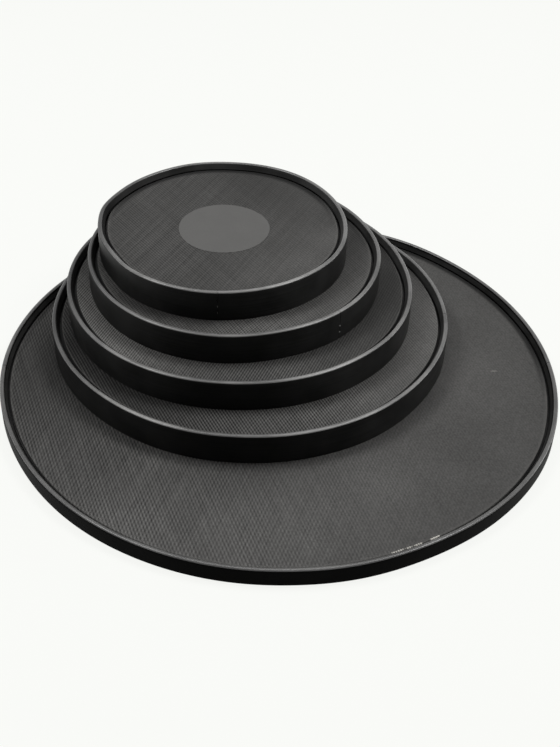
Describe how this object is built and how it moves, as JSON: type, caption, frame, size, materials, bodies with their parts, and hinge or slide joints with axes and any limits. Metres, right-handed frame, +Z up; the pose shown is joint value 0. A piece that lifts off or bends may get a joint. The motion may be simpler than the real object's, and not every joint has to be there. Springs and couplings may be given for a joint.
{
  "type": "practice pad set",
  "caption": "Nested set of push-on mesh drum practice pads with tunable heads; smaller pads stand inside the rims of the larger ones, on a low kick-drum pad.",
  "frame": {"origin": "centre of the 22 inch pad's foot, on the surface it stands on", "axes": "+Z up; -Y towards the open front of the stack, away from the side that the small pads lean to"},
  "size_m": [0.604, 0.6038, 0.1325],
  "materials": {
    "band": "satin black plastic",
    "flange": "glass-filled nylon, black",
    "hoop": "black anodised",
    "mesh": "tight black woven mesh",
    "ring": "moulded black",
    "steel": "zinc plated",
    "dot": "smooth dark grey patch"
  },
  "bodies": {
    "pad_22": {"rear_band_22": "band", "front_band_22": "band", "seam_pins_22": "steel", "support_flange_22": "flange", "mesh_hoop_22": "hoop", "mesh_head_22": "mesh"},
    "ring_22": {"tension_ring_22": "ring"},
    "screw_22_1": {"tension_screw_22_1": "steel"},
    "screw_22_2": {"tension_screw_22_2": "steel"},
    "screw_22_3": {"tension_screw_22_3": "steel"},
    "screw_22_4": {"tension_screw_22_4": "steel"},
    "screw_22_5": {"tension_screw_22_5": "steel"},
    "screw_22_6": {"tension_screw_22_6": "steel"},
    "pad_16": {"outer_band_16": "band", "seam_pins_16": "steel", "support_flange_16": "flange", "mesh_hoop_16": "hoop", "mesh_head_16": "mesh"},
    "ring_16": {"tension_ring_16": "ring"},
    "screw_16_1": {"tension_screw_16_1": "steel"},
    "screw_16_2": {"tension_screw_16_2": "steel"},
    "screw_16_3": {"tension_screw_16_3": "steel"},
    "screw_16_4": {"tension_screw_16_4": "steel"},
    "screw_16_5": {"tension_screw_16_5": "steel"},
    "screw_16_6": {"tension_screw_16_6": "steel"},
    "pad_14": {"outer_band_14": "band", "seam_pins_14": "steel", "support_flange_14": "flange", "mesh_hoop_14": "hoop", "mesh_head_14": "mesh"},
    "ring_14": {"tension_ring_14": "ring"},
    "screw_14_1": {"tension_screw_14_1": "steel"},
    "screw_14_2": {"tension_screw_14_2": "steel"},
    "screw_14_3": {"tension_screw_14_3": "steel"},
    "screw_14_4": {"tension_screw_14_4": "steel"},
    "screw_14_5": {"tension_screw_14_5": "steel"},
    "pad_12": {"outer_band_12": "band", "seam_pins_12": "steel", "support_flange_12": "flange", "mesh_hoop_12": "hoop", "mesh_head_12": "mesh"},
    "ring_12": {"tension_ring_12": "ring"},
    "screw_12_1": {"tension_screw_12_1": "steel"},
    "screw_12_2": {"tension_screw_12_2": "steel"},
    "screw_12_3": {"tension_screw_12_3": "steel"},
    "screw_12_4": {"tension_screw_12_4": "steel"},
    "screw_12_5": {"tension_screw_12_5": "steel"},
    "pad_10": {"outer_band_10": "band", "seam_pins_10": "steel", "support_flange_10": "flange", "mesh_hoop_10": "hoop", "mesh_head_10": "mesh", "centre_dot_10": "dot"},
    "ring_10": {"tension_ring_10": "ring"},
    "screw_10_1": {"tension_screw_10_1": "steel"},
    "screw_10_2": {"tension_screw_10_2": "steel"},
    "screw_10_3": {"tension_screw_10_3": "steel"},
    "screw_10_4": {"tension_screw_10_4": "steel"}
  },
  "joints": [
    {"name": "tension_22", "type": "slide", "parent": "pad_22", "child": "ring_22", "axis": [0, 0, 1], "range_m": [-0.002, 0]},
    {"name": "turn_22_1", "type": "hinge", "parent": "ring_22", "child": "screw_22_1", "pos_m": [0.24682, 0.1425, 0.0068], "axis": [0, 0, 1], "range_deg": [-681.5, 0]},
    {"name": "turn_22_2", "type": "hinge", "parent": "ring_22", "child": "screw_22_2", "pos_m": [0, 0.285, 0.0068], "axis": [0, 0, 1], "range_deg": [-681.5, 0]},
    {"name": "turn_22_3", "type": "hinge", "parent": "ring_22", "child": "screw_22_3", "pos_m": [-0.24682, 0.1425, 0.0068], "axis": [0, 0, 1], "range_deg": [-681.5, 0]},
    {"name": "turn_22_4", "type": "hinge", "parent": "ring_22", "child": "screw_22_4", "pos_m": [-0.24682, -0.1425, 0.0068], "axis": [0, 0, 1], "range_deg": [-681.5, 0]},
    {"name": "turn_22_5", "type": "hinge", "parent": "ring_22", "child": "screw_22_5", "pos_m": [0, -0.285, 0.0068], "axis": [0, 0, 1], "range_deg": [-681.5, 0]},
    {"name": "turn_22_6", "type": "hinge", "parent": "ring_22", "child": "screw_22_6", "pos_m": [0.24682, -0.1425, 0.0068], "axis": [0, 0, 1], "range_deg": [-681.5, 0]},
    {"name": "lift_16", "type": "slide", "parent": "pad_22", "child": "pad_16", "axis": [0, 0, 1], "range_m": [0, 0.12]},
    {"name": "tension_16", "type": "slide", "parent": "pad_16", "child": "ring_16", "axis": [0, 0, 1], "range_m": [-0.004, 0]},
    {"name": "turn_16_1", "type": "hinge", "parent": "ring_16", "child": "screw_16_1", "pos_m": [0.16187, 0.11905, 0.0351], "axis": [0, 0, 1], "range_deg": [-1362.1, 0]},
    {"name": "turn_16_2", "type": "hinge", "parent": "ring_16", "child": "screw_16_2", "pos_m": [0.01797, 0.26294, 0.0351], "axis": [0, 0, 1], "range_deg": [-1362.1, 0]},
    {"name": "turn_16_3", "type": "hinge", "parent": "ring_16", "child": "screw_16_3", "pos_m": [-0.1786, 0.21027, 0.0351], "axis": [0, 0, 1], "range_deg": [-1362.1, 0]},
    {"name": "turn_16_4", "type": "hinge", "parent": "ring_16", "child": "screw_16_4", "pos_m": [-0.23127, 0.01371, 0.0351], "axis": [0, 0, 1], "range_deg": [-1362.1, 0]},
    {"name": "turn_16_5", "type": "hinge", "parent": "ring_16", "child": "screw_16_5", "pos_m": [-0.08737, -0.13019, 0.0351], "axis": [0, 0, 1], "range_deg": [-1362.1, 0]},
    {"name": "turn_16_6", "type": "hinge", "parent": "ring_16", "child": "screw_16_6", "pos_m": [0.1092, -0.07752, 0.0351], "axis": [0, 0, 1], "range_deg": [-1362.1, 0]},
    {"name": "lift_14", "type": "slide", "parent": "pad_16", "child": "pad_14", "axis": [0, 0, 1], "range_m": [0, 0.12]},
    {"name": "tension_14", "type": "slide", "parent": "pad_14", "child": "ring_14", "axis": [0, 0, 1], "range_m": [-0.004, 0]},
    {"name": "turn_14_1", "type": "hinge", "parent": "ring_14", "child": "screw_14_1", "pos_m": [0.08743, 0.19797, 0.0634], "axis": [0, 0, 1], "range_deg": [-1362.1, 0]},
    {"name": "turn_14_2", "type": "hinge", "parent": "ring_14", "child": "screw_14_2", "pos_m": [-0.11332, 0.24802, 0.0634], "axis": [0, 0, 1], "range_deg": [-1362.1, 0]},
    {"name": "turn_14_3", "type": "hinge", "parent": "ring_14", "child": "screw_14_3", "pos_m": [-0.22296, 0.07256, 0.0634], "axis": [0, 0, 1], "range_deg": [-1362.1, 0]},
    {"name": "turn_14_4", "type": "hinge", "parent": "ring_14", "child": "screw_14_4", "pos_m": [-0.08997, -0.08593, 0.0634], "axis": [0, 0, 1], "range_deg": [-1362.1, 0]},
    {"name": "turn_14_5", "type": "hinge", "parent": "ring_14", "child": "screw_14_5", "pos_m": [0.10187, -0.00843, 0.0634], "axis": [0, 0, 1], "range_deg": [-1362.1, 0]},
    {"name": "lift_12", "type": "slide", "parent": "pad_14", "child": "pad_12", "axis": [0, 0, 1], "range_m": [0, 0.12]},
    {"name": "tension_12", "type": "slide", "parent": "pad_12", "child": "ring_12", "axis": [0, 0, 1], "range_m": [-0.004, 0]},
    {"name": "turn_12_1", "type": "hinge", "parent": "ring_12", "child": "screw_12_1", "pos_m": [0.09156, 0.09658, 0.0917], "axis": [0, 0, 1], "range_deg": [-1362.1, 0]},
    {"name": "turn_12_2", "type": "hinge", "parent": "ring_12", "child": "screw_12_2", "pos_m": [-0.00933, 0.23544, 0.0917], "axis": [0, 0, 1], "range_deg": [-1362.1, 0]},
    {"name": "turn_12_3", "type": "hinge", "parent": "ring_12", "child": "screw_12_3", "pos_m": [-0.17256, 0.1824, 0.0917], "axis": [0, 0, 1], "range_deg": [-1362.1, 0]},
    {"name": "turn_12_4", "type": "hinge", "parent": "ring_12", "child": "screw_12_4", "pos_m": [-0.17256, 0.01076, 0.0917], "axis": [0, 0, 1], "range_deg": [-1362.1, 0]},
    {"name": "turn_12_5", "type": "hinge", "parent": "ring_12", "child": "screw_12_5", "pos_m": [-0.00933, -0.04227, 0.0917], "axis": [0, 0, 1], "range_deg": [-1362.1, 0]},
    {"name": "lift_10", "type": "slide", "parent": "pad_12", "child": "pad_10", "axis": [0, 0, 1], "range_m": [0, 0.12]},
    {"name": "tension_10", "type": "slide", "parent": "pad_10", "child": "ring_10", "axis": [0, 0, 1], "range_m": [-0.004, 0]},
    {"name": "turn_10_1", "type": "hinge", "parent": "ring_10", "child": "screw_10_1", "pos_m": [0.01793, 0.19364, 0.12], "axis": [0, 0, 1], "range_deg": [-1362.1, 0]},
    {"name": "turn_10_2", "type": "hinge", "parent": "ring_10", "child": "screw_10_2", "pos_m": [-0.15319, 0.19364, 0.12], "axis": [0, 0, 1], "range_deg": [-1362.1, 0]},
    {"name": "turn_10_3", "type": "hinge", "parent": "ring_10", "child": "screw_10_3", "pos_m": [-0.15319, 0.02252, 0.12], "axis": [0, 0, 1], "range_deg": [-1362.1, 0]},
    {"name": "turn_10_4", "type": "hinge", "parent": "ring_10", "child": "screw_10_4", "pos_m": [0.01793, 0.02252, 0.12], "axis": [0, 0, 1], "range_deg": [-1362.1, 0]}
  ],
  "couplings": [
    {"joint": "turn_22_1", "follows": "tension_22", "rad_per_m": 5938.7},
    {"joint": "turn_22_2", "follows": "tension_22", "rad_per_m": 5938.7},
    {"joint": "turn_22_3", "follows": "tension_22", "rad_per_m": 5938.7},
    {"joint": "turn_22_4", "follows": "tension_22", "rad_per_m": 5938.7},
    {"joint": "turn_22_5", "follows": "tension_22", "rad_per_m": 5938.7},
    {"joint": "turn_22_6", "follows": "tension_22", "rad_per_m": 5938.7},
    {"joint": "turn_16_1", "follows": "tension_16", "rad_per_m": 5938.7},
    {"joint": "turn_16_2", "follows": "tension_16", "rad_per_m": 5938.7},
    {"joint": "turn_16_3", "follows": "tension_16", "rad_per_m": 5938.7},
    {"joint": "turn_16_4", "follows": "tension_16", "rad_per_m": 5938.7},
    {"joint": "turn_16_5", "follows": "tension_16", "rad_per_m": 5938.7},
    {"joint": "turn_16_6", "follows": "tension_16", "rad_per_m": 5938.7},
    {"joint": "turn_14_1", "follows": "tension_14", "rad_per_m": 5938.7},
    {"joint": "turn_14_2", "follows": "tension_14", "rad_per_m": 5938.7},
    {"joint": "turn_14_3", "follows": "tension_14", "rad_per_m": 5938.7},
    {"joint": "turn_14_4", "follows": "tension_14", "rad_per_m": 5938.7},
    {"joint": "turn_14_5", "follows": "tension_14", "rad_per_m": 5938.7},
    {"joint": "turn_12_1", "follows": "tension_12", "rad_per_m": 5938.7},
    {"joint": "turn_12_2", "follows": "tension_12", "rad_per_m": 5938.7},
    {"joint": "turn_12_3", "follows": "tension_12", "rad_per_m": 5938.7},
    {"joint": "turn_12_4", "follows": "tension_12", "rad_per_m": 5938.7},
    {"joint": "turn_12_5", "follows": "tension_12", "rad_per_m": 5938.7},
    {"joint": "turn_10_1", "follows": "tension_10", "rad_per_m": 5938.7},
    {"joint": "turn_10_2", "follows": "tension_10", "rad_per_m": 5938.7},
    {"joint": "turn_10_3", "follows": "tension_10", "rad_per_m": 5938.7},
    {"joint": "turn_10_4", "follows": "tension_10", "rad_per_m": 5938.7}
  ]
}
